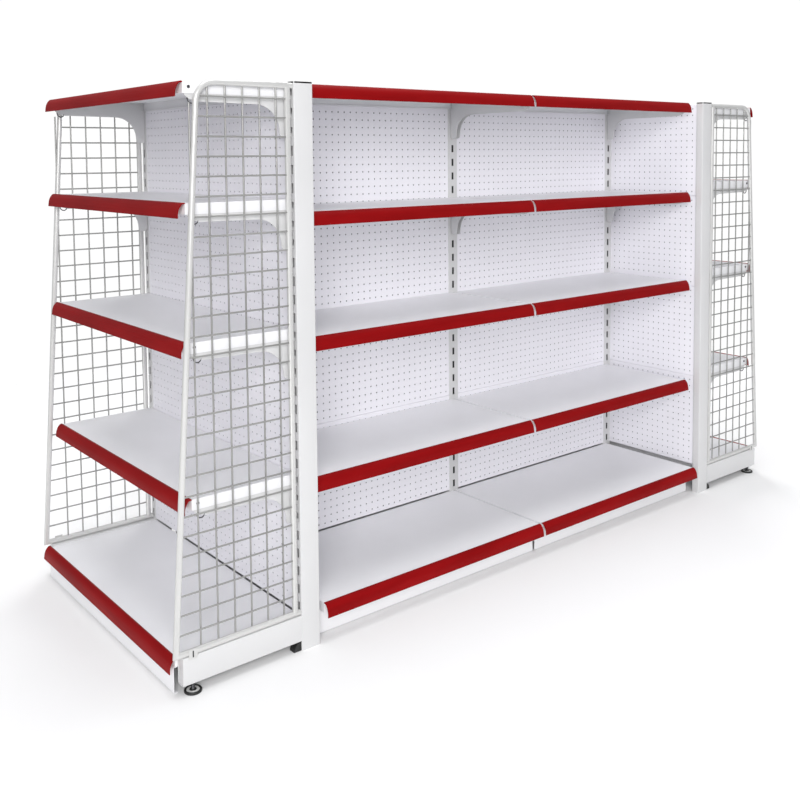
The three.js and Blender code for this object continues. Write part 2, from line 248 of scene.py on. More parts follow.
white_coat = painted("white_coat", (0.86, 0.86, 0.88), (0.89, 0.89, 0.91), 0.36, 0.46)
# The posts, legs, plugs and brackets wear the same white powder coat as the decks; this copy is
# set darker as painted shade, so their brightly lit faces keep their tone.
post_white_coat_painted_shade = painted("post_white_coat_painted_shade", (0.64, 0.64, 0.645), (0.68, 0.68, 0.685), 0.36, 0.46)
panel_coat = painted("panel_coat", (0.88, 0.87, 0.92), (0.905, 0.895, 0.945), 0.42, 0.52)
# The grid's tube and tabs are white coated and its wires light grey; both coats are set darker
# here as painted shade, so the thin tubes and wires keep dark edges against white.
grid_tube_coat_painted_shade = painted("grid_tube_coat_painted_shade", (0.60, 0.60, 0.59), (0.66, 0.66, 0.65), 0.30, 0.40, 0.30)
grid_wire_coat_painted_shade = painted("grid_wire_coat_painted_shade", (0.31, 0.31, 0.30), (0.39, 0.39, 0.38), 0.28, 0.40, 0.55)
# Near-black painted shade: it stands in for the unlit hollows inside the tubes, seen through their
# slots, and for the grid tabs' slots.
shadow_steel = painted("painted_shade_dark", (0.020, 0.021, 0.022), (0.035, 0.036, 0.038), 0.6, 0.7)
# Grey painted shade for the unlit hollow behind a panel's holes.
panel_painted_shade = painted("panel_inside_steel", (0.20, 0.20, 0.22), (0.28, 0.28, 0.30), 0.6, 0.7)
strip_red = strip_plastic()
dark_zinc = brushed_metal("dark_zinc_screw", (0.07, 0.07, 0.075), (0.14, 0.14, 0.15), (1, 1, 4))
# Light grey painted reflection: the plate in a foot's hollow stands for a bright metal disc that
# mirrors the white surroundings.
foot_plate_painted_reflection = painted("foot_plate_painted_reflection_grey", (0.62, 0.62, 0.61), (0.72, 0.72, 0.71), 0.35, 0.5)
black_plastic = moulded_plastic("black_plastic", (0.010, 0.010, 0.010), (0.022, 0.022, 0.022))


# ---------------------------------------------------------------- mesh tools


def finish_mesh(bm, name, material, sharp=SHADING_ANGLE):
    """Closes a bmesh into a mesh with smooth faces and sharp edges above an angle."""
    bmesh.ops.recalc_face_normals(bm, faces=bm.faces)
    mesh = bpy.data.meshes.new(name)
    bm.to_mesh(mesh)
    bm.free()
    for polygon in mesh.polygons:
        polygon.use_smooth = True
    mesh.set_sharp_from_angle(angle=math.radians(sharp))
    mesh.materials.append(material)
    return mesh


def arc(centre, radii, start, turn, steps):
    """Points of an arc in a plane, from a start angle through a turn, both ends included."""
    angles = [start + turn * i / steps for i in range(steps + 1)]
    return [
        (centre[0] + radii[0] * math.cos(a), centre[1] + radii[1] * math.sin(a)) for a in angles
    ]


def add_face(bm, points):
    """One face on vertices of its own."""
    return bm.faces.new([bm.verts.new(p) for p in points])


def add_prism(bm, outline, push):
    """A solid from a closed outline of 3-D points, pushed along a vector."""
    push = Vector(push)
    near = [bm.verts.new(Vector(p)) for p in outline]
    far = [bm.verts.new(Vector(p) + push) for p in outline]
    count = len(near)
    bm.faces.new(near)
    bm.faces.new(list(reversed(far)))
    for i in range(count):
        j = (i + 1) % count
        bm.faces.new((near[i], far[i], far[j], near[j]))


def add_box(bm, corner, opposite):
    """A box between two opposite corners, in whichever order they come."""
    (xa, xb), (ya, yb), (za, zb) = (sorted(pair) for pair in zip(corner, opposite))
    outline = [(xa, ya, za), (xb, ya, za), (xb, yb, za), (xa, yb, za)]
    add_prism(bm, outline, (0, 0, zb - za))


def add_lathe(bm, profile, centre, segments=28):
    """A turned solid about a vertical line; the profile holds [radius, z] pairs."""
    rings = []
    for radius, z in profile:
        if radius < SAME_POINT:
            rings.append([bm.verts.new((centre[0], centre[1], centre[2] + z))])
            continue
        ring = []
        for i in range(segments):
            a = 2 * math.pi * i / segments
            x, y = centre[0] + radius * math.cos(a), centre[1] + radius * math.sin(a)
            ring.append(bm.verts.new((x, y, centre[2] + z)))
        rings.append(ring)
    for low, high in zip(rings, rings[1:]):
        for i in range(segments):
            j = (i + 1) % segments
            corners = [
                low[i % len(low)], low[j % len(low)], high[j % len(high)], high[i % len(high)]
            ]
            distinct = list(dict.fromkeys(corners))
            if len(distinct) > 2:
                bm.faces.new(distinct)


def add_rod(bm, start, end, radius, segments=10):
    """A round bar between two points, with flat ends."""
    start, end = Vector(start), Vector(end)
    along = (end - start).normalized()
    across = along.orthogonal().normalized()
    other = along.cross(across)
    rings = []
    for point in (start, end):
        ring = []
        for i in range(segments):
            a = 2 * math.pi * i / segments
            offset = across * math.cos(a) * radius + other * math.sin(a) * radius
            ring.append(bm.verts.new(point + offset))
        rings.append(ring)
    bm.faces.new(rings[0])
    bm.faces.new(list(reversed(rings[1])))
    for i in range(segments):
        j = (i + 1) % segments
        bm.faces.new((rings[0][i], rings[1][i], rings[1][j], rings[0][j]))


def add_tube_loop(bm, points, radius, segments=14):
    """A round tube swept along a closed flat loop of points in an XZ plane."""
    count = len(points)
    rings = []
    for i, point in enumerate(points):
        point = Vector(point)
        before, after = Vector(points[i - 1]), Vector(points[(i + 1) % count])
        incoming, outgoing = (point - before).normalized(), (after - point).normalized()
        along = (incoming + outgoing).normalized()
        stretch = 1 / max(0.5, along.dot(outgoing))
        across = along.cross(Vector((0, 1, 0))).normalized()
        ring = []
        for k in range(segments):
            a = 2 * math.pi * k / segments
            sideways = across * (math.cos(a) * radius * stretch)
            offset = sideways + Vector((0, math.sin(a) * radius, 0))
            ring.append(bm.verts.new(point + offset))
        rings.append(ring)
    for i in range(count):
        ring, following = rings[i], rings[(i + 1) % count]
        for k in range(segments):
            m = (k + 1) % segments
            bm.faces.new((ring[k], following[k], following[m], ring[m]))


def add(name, mesh, body, nodes, place=None):
    """Links a piece, sets it down, hangs it under its body and hides the CAD nodes it stands for.
    """
    piece = bpy.data.objects.new(name, mesh)
    bpy.context.scene.collection.objects.link(piece)
    if place is not None:
        piece.matrix_world = place
    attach(piece, body)
    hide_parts(*nodes)


def add_fixed(name, bm, material, node, sharp=SHADING_ANGLE):
    """Finishes a bmesh and adds it as a piece of the standing frame."""
    add(name, finish_mesh(bm, f"{name}_mesh", material, sharp), FIXED, [node])


shared_meshes = {}


# ---------------------------------------------------------------- shelves


def deck_mesh(name, long, deep):
    """A deck folded down on its four sides, with hems turned in along the front and the back."""
    half = long / 2
    front = deep - DECK_SETBACK
    bm = bmesh.new()
    add_box(bm, (-half, -front, -DECK_HIGH), (half, -TRAY_BACK_GAP, 0))
    bmesh.ops.recalc_face_normals(bm, faces=bm.faces)
    underside = [f for f in bm.faces if f.normal.z < -0.9]
    bmesh.ops.delete(bm, geom=underside, context="FACES_ONLY")
    bmesh.ops.solidify(bm, geom=bm.faces[:], thickness=SHEET)
    front_hem = (-front + SHEET, -front + TRAY_HEM)
    back_hem = (-TRAY_BACK_GAP - TRAY_HEM, -TRAY_BACK_GAP - SHEET)
    hem_half = half - TRAY_HEM_END_GAP
    for ya, yb in (front_hem, back_hem):
        add_box(bm, (-hem_half, ya, -DECK_HIGH), (hem_half, yb, -DECK_HIGH + SHEET))
    return finish_mesh(bm, name, white_coat)


def bracket_outline(deep):
    """Arm with a deeper leg at the wall, a quarter-round hollow between them, a rounded toe.

    The points are [distance from the wall, height].
    """
    tip = deep - DECK_SETBACK - 0.006
    hollow_radius = 0.072
    toe_radius = 0.011
    toe_out = 0.031
    outline = [(BRACKET_WALL_GAP, BRACKET_TOP), (tip, BRACKET_TOP), (tip, -0.034),
               (tip - 0.012, -0.044), (tip - 0.034, -0.050)]
    outline += arc((0.103, -0.124), (hollow_radius, hollow_radius), RIGHT_ANGLE, RIGHT_ANGLE, 10)
    toe_centre = (toe_out - toe_radius, -0.1255)
    outline += arc(toe_centre, (toe_radius, toe_radius), 0.0, -RIGHT_ANGLE, 5)[1:]
    outline += [(0.009, -0.1365), (0.003, -0.134), (BRACKET_WALL_GAP, -0.128)]
    return outline


def bracket_mesh(name, deep, hand):
    """One bracket plate, with the hooks that sit in the upright's slots and their tongues."""
    bm = bmesh.new()
    outline = [(0.0, -out, z) for out, z in bracket_outline(deep)]
    add_prism(bm, outline, (BRACKET_THICK * hand, 0, 0))
    outer = -HOOK_SIDE_STEP * hand
    for base in HOOK_BASES:
        add_box(bm, (outer, -0.0045, base), (0.0012 * hand, -0.0008, base + 0.010))
        hook = [(outer, y, base + up) for y, up in HOOK_PROFILE]
        add_prism(bm, hook, (BRACKET_THICK * hand, 0, 0))
    return finish_mesh(bm, name, post_white_coat_painted_shade)


def strip_mesh(name, long, deep):
    """The price strip: a rolled top lip, a face leaning forward, and a beaded bottom edge."""
    outer = [(-0.006, -0.0012), (-0.004, -0.0002), (-0.001, 0.0), (0.0015, -0.0006),
             (0.0038, -0.0026), (0.0068, -0.0056), (0.0098, -0.0096), (0.0122, -0.0142),
             (0.0139, -0.0190),
             (0.0151, -0.0240), (0.0159, -0.0290), (0.0164, -0.0340), (0.0170, -0.0368),
             (0.0168, -0.0386), (0.0156, -0.0392), (0.0142, -0.0384)]
    inner = [(0.0140, -0.0362), (0.0142, -0.0290), (0.0134, -0.0240), (0.0122, -0.0192),
             (0.0104, -0.0146), (0.0080, -0.0104), (0.0050, -0.0068), (0.0020, -0.0040),
             (-0.002, -0.0034), (-0.006, -0.0034)]
    bm = bmesh.new()
    outline = [(-long / 2, -(deep + out), z) for out, z in outer + inner]
    add_prism(bm, outline, (long, 0, 0))
    return finish_mesh(bm, name, strip_red, 50)


def screw_mesh(name):
    """A pan-head screw facing along X, with a cross on its head."""
    bm = bmesh.new()
    profile = [(0, -0.001), (0.0042, -0.001), (0.0042, 0.0004), (0.0036, 0.0014),
               (0.0020, 0.0020), (0, 0.0021)]
    add_lathe(bm, profile, (0, 0, 0), 16)
    for a, b in ((0.0022, 0.0005), (0.0005, 0.0022)):
        add_box(bm, (-a, -b, 0.0012), (a, b, 0.0023))
    quarter_turn = Matrix.Rotation(RIGHT_ANGLE, 3, "Y")
    bmesh.ops.rotate(bm, verts=bm.verts, cent=(0, 0, 0), matrix=quarter_turn)
    return finish_mesh(bm, name, dark_zinc)


def face_place(face, low, high):
    """Where a face's local frame stands: on its wall, at mid-length, level with the box's top."""
    side = face if face.startswith("end") else face.split("_")[0]
    middle = (low + high) / 2
    origin = {
        "front": (middle.x, high.y, high.z),
        "rear": (middle.x, low.y, high.z),
        "end_left": (high.x, middle.y, high.z),
        "end_right": (low.x, middle.y, high.z),
    }[side]
    return Matrix.Translation(Vector(origin)) @ Matrix.Rotation(TURNS[side], 4, "Z")


def face_size(face, low, high):
    """Length along the wall and reach out of it."""
    size = high - low
    return (size.y, size.x) if face.startswith("end") else (size.x, size.y)


def clip_mesh(name, deep):
    """A bent spring wire under the front of a bracket's arm."""
    path = [(deep - 0.019, -0.041), (deep - 0.021, -0.049), (deep - 0.027, -0.054),
            (deep - 0.034, -0.055), (deep - 0.040, -0.051), (deep - 0.041, -0.045)]
    bm = bmesh.new()
    for (ya, za), (yb, zb) in zip(path, path[1:]):
        add_rod(bm, (0, -ya, za), (0, -yb, zb), CLIP_WIRE_RADIUS, 8)
    return finish_mesh(bm, name, dark_zinc, 60)


def shelf_set(kind, long, reach):
    """The meshes of one kind of shelf, shared by all the shelves of that kind."""
    if kind not in shared_meshes:
        deep = reach - STRIP_REACH
        shared_meshes[kind] = {
            "deep": deep,
            "deck": deck_mesh(f"{kind}_deck_mesh", long, deep),
            "strip": strip_mesh(f"{kind}_strip_mesh", long, deep),
            "left": bracket_mesh(f"{kind}_bracket_left_mesh", deep, 1),
            "right": bracket_mesh(f"{kind}_bracket_right_mesh", deep, -1),
            "clip": clip_mesh(f"{kind}_clip_mesh", deep),
        }
    return shared_meshes[kind]


def moved(place, x, y, z, turn=0.0):
    """A placing shifted, then turned about its own Z."""
    return place @ Matrix.Translation((x, y, z)) @ Matrix.Rotation(turn, 4, "Z")


screw = screw_mesh("screw_mesh")

for face in FACES:
    kind = "end" if face.startswith("end") else "main"
    for number in (1, 2, 3, 4):
        node = f"shelf_{face}_{number}"
        low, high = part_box(node)
        long, reach = face_size(face, low, high)
        place = face_place(face, low, high)
        parts = shelf_set(kind, long, reach)
        half = long / 2
        deck_place = moved(place, 0, 0, -DECK_DROP)
        add(f"deck_{face}_{number}", parts["deck"], node, [node], deck_place)
        add(f"price_strip_{face}_{number}", parts["strip"], node, [node], place)
        for hand, end in CORNERS:
            tag = f"{face}_{number}_{hand}"
            bracket_place = moved(place, end * (half - BRACKET_INSET), 0, 0)
            add(f"bracket_{tag}", parts[hand], node, [node], bracket_place)
            if kind == "end":
                turn = 0.0 if end > 0 else math.pi
                screw_place = moved(
                    place, end * (half + 0.0002), -parts["deep"] + 0.022, -0.014, turn
                )
                add(f"screw_{tag}", screw, node, [node], screw_place)
                clip_x = end * (half - BRACKET_INSET - BRACKET_THICK / 2)
                clip_place = moved(place, clip_x, 0, 0)
                add(f"spring_clip_{tag}", parts["clip"], node, [node], clip_place)


# ---------------------------------------------------------------- base decks and kick plates


def kick_mesh(name, long, high, deep):
    """A kick plate with both long edges rolled back into hems."""
    radius = KICK_EDGE_RADIUS
    rolled = []
    for centre_z, first in ((radius, -RIGHT_ANGLE), (high - radius, math.pi)):
        rolled += arc((radius, centre_z), (radius, radius), first, -RIGHT_ANGLE, 4)
    outer = [(deep, 0.0)] + rolled + [(deep, high)]
    inner = [(deep, high - SHEET), (radius, high - SHEET), (SHEET, high - radius),
             (SHEET, radius), (radius, SHEET), (deep, SHEET)]
    bm = bmesh.new()
    add_prism(bm, [(-long / 2, y, z) for y, z in outer + inner], (long, 0, 0))
    return finish_mesh(bm, name, white_coat)


for face in FACES:
    is_end = face.startswith("end")
    kind = "end" if is_end else "main"
    key = f"{kind}_base"
    node = f"base_deck_{face}"
    low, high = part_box(node)
    long, reach = face_size(face, low, high)
    if key not in shared_meshes:
        deep = reach - STRIP_REACH
        deck_long = long - END_BASE_DECK_CUT if is_end else long
        shared_meshes[key] = {
            "deck": deck_mesh(f"{key}_deck_mesh", deck_long, deep),
            "strip": strip_mesh(f"{key}_strip_mesh", long, deep),
        }
    parts = shared_meshes[key]
    place = face_place(face, low, high)
    deck_place = moved(place, 0, 0, -DECK_DROP)
    add(f"base_tray_{face}", parts["deck"], FIXED, [node], deck_place)
    add(f"base_price_strip_{face}", parts["strip"], FIXED, [node], place)

    key = f"{kind}_kick"
    node = f"kick_plate_{face}"
    low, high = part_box(node)
    plate_high = (high - low).z
    long, deep = face_size(face, low, high)
    if key not in shared_meshes:
        shared_meshes[key] = kick_mesh(f"{key}_mesh", long, plate_high, deep)
    place = moved(face_place(face, low, high), 0, -deep, -plate_high)
    add(node + "_sheet", shared_meshes[key], FIXED, [node], place)


# ---------------------------------------------------------------- perforated panels


def panel_mesh(name, long, high, deep):
    """One back panel: a perforated face between plain borders, folded back on all four edges, with
    a grey sheet of painted shade behind its holes.
    """
    columns = int((long - PANEL_LEAST_BORDERS) / HOLE_PITCH)
    rows = int((high - PANEL_LEAST_BORDERS) / HOLE_PITCH)
    xs = [-columns * HOLE_PITCH / 2 + i * HOLE_PITCH for i in range(columns + 1)]
    border = (high - rows * HOLE_PITCH) / 2
    zs = [border + i * HOLE_PITCH for i in range(rows + 1)]
    bm = bmesh.new()
    cache = {}

    def vert(x, y, z):
        key = (round(x, 6), round(y, 6), round(z, 6))
        if key not in cache:
            cache[key] = bm.verts.new((x, y, z))
        return cache[key]

    def quad(*corners):
        bm.faces.new([vert(*c) for c in corners])

    half_pitch = HOLE_PITCH / 2
    around = [(-1, -1), (0, -1), (1, -1), (1, 0), (1, 1), (0, 1), (-1, 1), (-1, 0)]
    for i in range(columns):
        for k in range(rows):
            x, z = xs[i] + half_pitch, zs[k] + half_pitch
            ring, hole = [], []
            for ax, az in around:
                length = math.hypot(ax, az)
                ring.append((x + ax * half_pitch, 0.0, z + az * half_pitch))
                hole.append(
                    (x + ax / length * HOLE_RADIUS, 0.0, z + az / length * HOLE_RADIUS)
                )
            for a in range(len(around)):
                b = (a + 1) % len(around)
                quad(ring[a], ring[b], hole[b], hole[a])
                (xa, _, za), (xb, _, zb) = hole[a], hole[b]
                quad(hole[a], hole[b], (xb, SHEET, zb), (xa, SHEET, za))
    half = long / 2
    fold = PANEL_FOLD
    steps = [xs[0]]
    for i in range(columns):
        steps += [xs[i] + half_pitch, xs[i + 1]]
    heights = [zs[0]]
    for k in range(rows):
        heights += [zs[k] + half_pitch, zs[k + 1]]
    for a, b in zip(steps, steps[1:]):
        quad((a, 0, fold), (b, 0, fold), (b, 0, zs[0]), (a, 0, zs[0]))
        quad((a, 0, zs[-1]), (b, 0, zs[-1]), (b, 0, high - fold), (a, 0, high - fold))
    for a, b in zip(heights, heights[1:]):
        quad((-half + fold, 0, a), (xs[0], 0, a), (xs[0], 0, b), (-half + fold, 0, b))
        quad((xs[-1], 0, a), (half - fold, 0, a), (half - fold, 0, b), (xs[-1], 0, b))
    for xa, xb in ((-half + fold, xs[0]), (xs[-1], half - fold)):
        quad((xa, 0, fold), (xb, 0, fold), (xb, 0, zs[0]), (xa, 0, zs[0]))
        quad((xa, 0, zs[-1]), (xb, 0, zs[-1]), (xb, 0, high - fold), (xa, 0, high - fold))
    low_x, high_x = -half + fold, half - fold
    rim = [(low_x, fold), (high_x, fold), (high_x, high - fold), (low_x, high - fold)]
    lip = [(-half, 0.0), (half, 0.0), (half, high), (-half, high)]
    for a in range(4):
        b = (a + 1) % 4
        (xa, za), (xb, zb) = rim[a], rim[b]
        (ua, wa), (ub, wb) = lip[a], lip[b]
        add_face(bm, ((xa, 0, za), (xb, 0, zb), (ub, fold, wb), (ua, fold, wa)))
        add_face(bm, ((ua, fold, wa), (ub, fold, wb), (ub, deep, wb), (ua, deep, wa)))
    bmesh.ops.remove_doubles(bm, verts=bm.verts, dist=SAME_POINT)
    # The grey sheet set back inside the folds is painted shade: it stands for the unlit hollow
    # seen through the holes.
    side, foot, head = half - SHEET, PANEL_SHADE_SHEET_INSET, high - PANEL_SHADE_SHEET_INSET
    inside = [(-side, foot), (side, foot), (side, head), (-side, head)]
    shade_sheet = add_face(bm, [(x, deep - PANEL_SHADE_SHEET_SETBACK, z) for x, z in inside])
    shade_sheet.material_index = 1
    mesh = finish_mesh(bm, name, panel_coat)
    mesh.materials.append(panel_painted_shade)
    return mesh


def add_panels(node, face):
    """The stack of panels that covers one side of a bay, seen from where its face looks."""
    low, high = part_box(node)
    size = high - low
    long, deep = face_size(face, low, high)
    each = size.z / PANELS_PER_FACE
    key = f"panel_{long:.4f}_{each:.4f}"
    if key not in shared_meshes:
        shared_meshes[key] = panel_mesh(f"{node}_mesh", long, each - PANEL_JOINT, deep)
    base = face_place(face, low, high)
    name = node.replace("_panel_", "_perforated_panel_")
    for number in range(PANELS_PER_FACE):
        place = moved(base, 0, -deep, number * each - size.z)
        add(f"{name}_{number + 1}", shared_meshes[key], FIXED, [node], place)


for face in FACES:
    add_panels(f"back_panel_{face}", face)
add_panels("inner_panel_end_left", "end_right")
add_panels("inner_panel_end_right", "end_left")


# ---------------------------------------------------------------- uprights, columns and legs


def slot_rows(top_of_lowest):
    """[lower, upper] edge of every slot."""
    rows = []
    for i in range(SLOT_COUNT):
        top = top_of_lowest + i * SLOT_PITCH
        rows.append((top - SLOT_HIGH, top))
    return rows


def add_slotted_side(bm, start, across, inward, width, high, slot_centre, rows):
    """A tube side in the plane of 'across' and Z, its slots cut through the wall's thickness."""
    start, across, inward = Vector(start), Vector(across), Vector(inward) * TUBE_WALL
    stops = [0.0, width]
    if rows:
        stops = [0.0, slot_centre - SLOT_WIDE / 2, slot_centre + SLOT_WIDE / 2, width]
    levels = [0.0] + [z for row in rows for z in row] + [high]

    def point(u, z, depth=0):
        return start + across * u + Vector((0, 0, z)) + inward * depth

    for k in range(len(levels) - 1):
        za, zb = levels[k], levels[k + 1]
        is_slot_row = k % 2 == 1
        for i in range(len(stops) - 1):
            ua, ub = stops[i], stops[i + 1]
            if is_slot_row and i == 1:
                corners = [(ua, za), (ub, za), (ub, zb), (ua, zb)]
                for a in range(4):
                    b = (a + 1) % 4
                    near, far = corners[a], corners[b]
                    add_face(bm, (point(*near), point(*far), point(*far, 1), point(*near, 1)))
                continue
            add_face(bm, [point(u, z) for u, z in ((ua, za), (ub, za), (ub, zb), (ua, zb))])


def post_mesh(name, low, high, slotted, slot_centre, rows):
    """A tube standing between two corners, with rounded edges and slots on the named sides."""
    bm = bmesh.new()
    (xa, ya, za), (xb, yb, zb) = low, high
    r = POST_EDGE_RADIUS
    height = zb - za
    local_rows = [(a - za, b - za) for a, b in rows]
    sides = {
        "-Y": ((xa + r, ya, za), (1, 0, 0), (0, 1, 0), xb - xa - 2 * r, slot_centre - xa - r),
        "+Y": ((xa + r, yb, za), (1, 0, 0), (0, -1, 0), xb - xa - 2 * r, slot_centre - xa - r),
        "-X": ((xa, ya + r, za), (0, 1, 0), (1, 0, 0), yb - ya - 2 * r, slot_centre - ya - r),
        "+X": ((xb, ya + r, za), (0, 1, 0), (-1, 0, 0), yb - ya - 2 * r, slot_centre - ya - r),
    }
    for side, (start, across, inward, width, centre) in sides.items():
        used = local_rows if side in slotted else []
        add_slotted_side(bm, start, across, inward, width, height, centre, used)
    for cx, cy, first in ((xa + r, ya + r, math.pi), (xb - r, ya + r, 1.5 * math.pi),
                          (xb - r, yb - r, 0.0), (xa + r, yb - r, 0.5 * math.pi)):
        for i in range(4):
            a, b = first + math.pi / 8 * i, first + math.pi / 8 * (i + 1)
            pa = (cx + r * math.cos(a), cy + r * math.sin(a))
            pb = (cx + r * math.cos(b), cy + r * math.sin(b))
            add_face(bm, ((*pa, za), (*pb, za), (*pb, zb), (*pa, zb)))
    bmesh.ops.remove_doubles(bm, verts=bm.verts, dist=SAME_POINT)
    return finish_mesh(bm, name, post_white_coat_painted_shade)


def shade_box_mesh(name, low, high, gap):
    """A near-black box inside a tube: painted shade for its unlit hollow, seen through its slots.
    """
    bm = bmesh.new()
    low, high = Vector(low), Vector(high)
    add_box(bm, low + Vector((gap, gap, 0.003)), high - Vector((gap, gap, 0.006)))
    return finish_mesh(bm, name, shadow_steel)


def plug_mesh(name, low, high, z):
    """A plug closing the top of a tube: a slab with a slightly raised middle."""
    bm = bmesh.new()
    (xa, ya), (xb, yb) = low, high
    add_box(bm, (xa, ya, z - 0.004), (xb, yb, z))
    raised_low = (xa + PLUG_RIM, ya + PLUG_RIM, z - 0.001)
    add_box(bm, raised_low, (xb - PLUG_RIM, yb - PLUG_RIM, z + PLUG_RISE))
    return finish_mesh(bm, name, post_white_coat_painted_shade)


def add_post(node, low, high, slotted, slot_centre, rows, shade_box_gap):
    """A slotted post with a near-black box of painted shade inside it and the plug in its top."""
    post = post_mesh(f"{node}_post_mesh", low, high, slotted, slot_centre, rows)
    add(f"{node}_post", post, FIXED, [node])
    shade_box = shade_box_mesh(f"{node}_inside_mesh", low, high, shade_box_gap)
    add(f"{node}_inside", shade_box, FIXED, [node])
    plug = plug_mesh(f"{node}_plug_mesh", low[:2], high[:2], high[2] - PLUG_RISE)
    add(f"{node}_plug", plug, FIXED, [node])


def leg_mesh(name, low, high, along):
    """A hollow rectangular leg with rounded long edges, open at its ends."""
    (xa, ya, za), (xb, yb, zb) = low, high
    wide, ends = ((ya, yb), (xa, xb)) if along == "x" else ((xa, xb), (ya, yb))

    def loop(inset, radius):
        a, b = wide[0] + inset + radius, wide[1] - inset - radius
        lo, hi = za + inset + radius, zb - inset - radius
        points = []
        for turn, centre in enumerate(((b, hi), (a, hi), (a, lo), (b, lo))):
            points += arc(centre, (radius, radius), turn * RIGHT_ANGLE, RIGHT_ANGLE, 3)
        return points

    def point(end, u, z):
        return (end, u, z) if along == "x" else (u, end, z)

    bm = bmesh.new()
    outer, inner = loop(0, LEG_EDGE_RADIUS), loop(TUBE_WALL, LEG_INNER_RADIUS)
    count = len(outer)
    rings = []
    for end, line in ((ends[0], outer), (ends[1], outer), (ends[1], inner), (ends[0], inner)):
        rings.append([bm.verts.new(point(end, u, z)) for u, z in line])
    for a, b in ((0, 1), (1, 2), (2, 3), (3, 0)):
        for i in range(count):
            j = (i + 1) % count
            bm.faces.new((rings[a][i], rings[b][i], rings[b][j], rings[a][j]))
    return finish_mesh(bm, name, post_white_coat_painted_shade)


def levelling_foot(name, centre, high):
    """Pad with a raised rim, a plate in its hollow and a threaded stem: three meshes. The plate's
    light grey is a painted reflection.
    """
    rim = FOOT_RADIUS
    pad = bmesh.new()
    pad_profile = [
        (0, 0.0), (rim - 0.001, 0.0), (rim, 0.001), (rim, 0.0045), (rim - 0.0015, 0.0066),
        (rim - 0.004, 0.0070), (rim - 0.0055, 0.0058), (rim - 0.0060, 0.0040),
        (0.010, 0.0040), (0.0085, 0.0069), (0, 0.0069),
    ]
    add_lathe(pad, pad_profile, centre, 36)
    washer = bmesh.new()
    washer_profile = [
        (0.0092, 0.0041), (rim - 0.0063, 0.0041), (rim - 0.0063, 0.0050), (0.0096, 0.0056),
        (0.0092, 0.0041),
    ]
    add_lathe(washer, washer_profile, centre, 36)
    stem = bmesh.new()
    height = 0.0065
    turns = [(0, height)]
    while height < high - 0.004:
        turns += [(STEM_RADIUS, height), (0.0050, height + 0.0006), (STEM_RADIUS, height + 0.0012)]
        height += THREAD_PITCH
    turns += [(STEM_RADIUS, height), (0.0038, high), (0, high)]
    add_lathe(stem, turns, centre, 16)
    return (
        finish_mesh(pad, f"{name}_pad_mesh", black_plastic),
        finish_mesh(washer, f"{name}_washer_mesh", foot_plate_painted_reflection),
        finish_mesh(stem, f"{name}_stem_mesh", dark_zinc),
    )


def add_foot(name, centre, high, body, nodes):
    """A levelling foot's three pieces, all on one body."""
    pad, washer, stem = levelling_foot(name, centre, high)
    add(f"{name}_pad", pad, body, nodes)
    add(f"{name}_washer", washer, body, nodes)
    add(f"{name}_stem", stem, body, nodes)


for name in ("left", "middle", "right"):
    node = f"upright_{name}"
    low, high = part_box(node)
    x = (low.x + high.x) / 2
    post_low = (low.x, -UPRIGHT_HALF_DEEP, 0)
    post_high = (high.x, UPRIGHT_HALF_DEEP, high.z)
    rows = slot_rows(UPRIGHT_SLOT_TOP)
    add_post(node, post_low, post_high, ("-Y", "+Y"), x, rows, UPRIGHT_SHADE_BOX_GAP)
    for side, sy in SIDES:
        tip = high.y * sy
        ya, yb = sorted((sy * UPRIGHT_HALF_DEEP, tip))
        leg_low = (x - LEG_WIDE / 2, ya, LEG_UNDERSIDE)
        leg_high = (x + LEG_WIDE / 2, yb, LEG_UNDERSIDE + MAIN_LEG_HIGH)
        leg = leg_mesh(f"{node}_leg_{side}_mesh", leg_low, leg_high, "y")
        add(f"{node}_leg_{side}", leg, FIXED, [node])
        foot_at = (x, tip - sy * MAIN_FOOT_FROM_TIP, 0)
        foot_high = LEG_UNDERSIDE + MAIN_FOOT_INTO_LEG
        add_foot(f"{node}_foot_{side}", foot_at, foot_high, FIXED, [node])


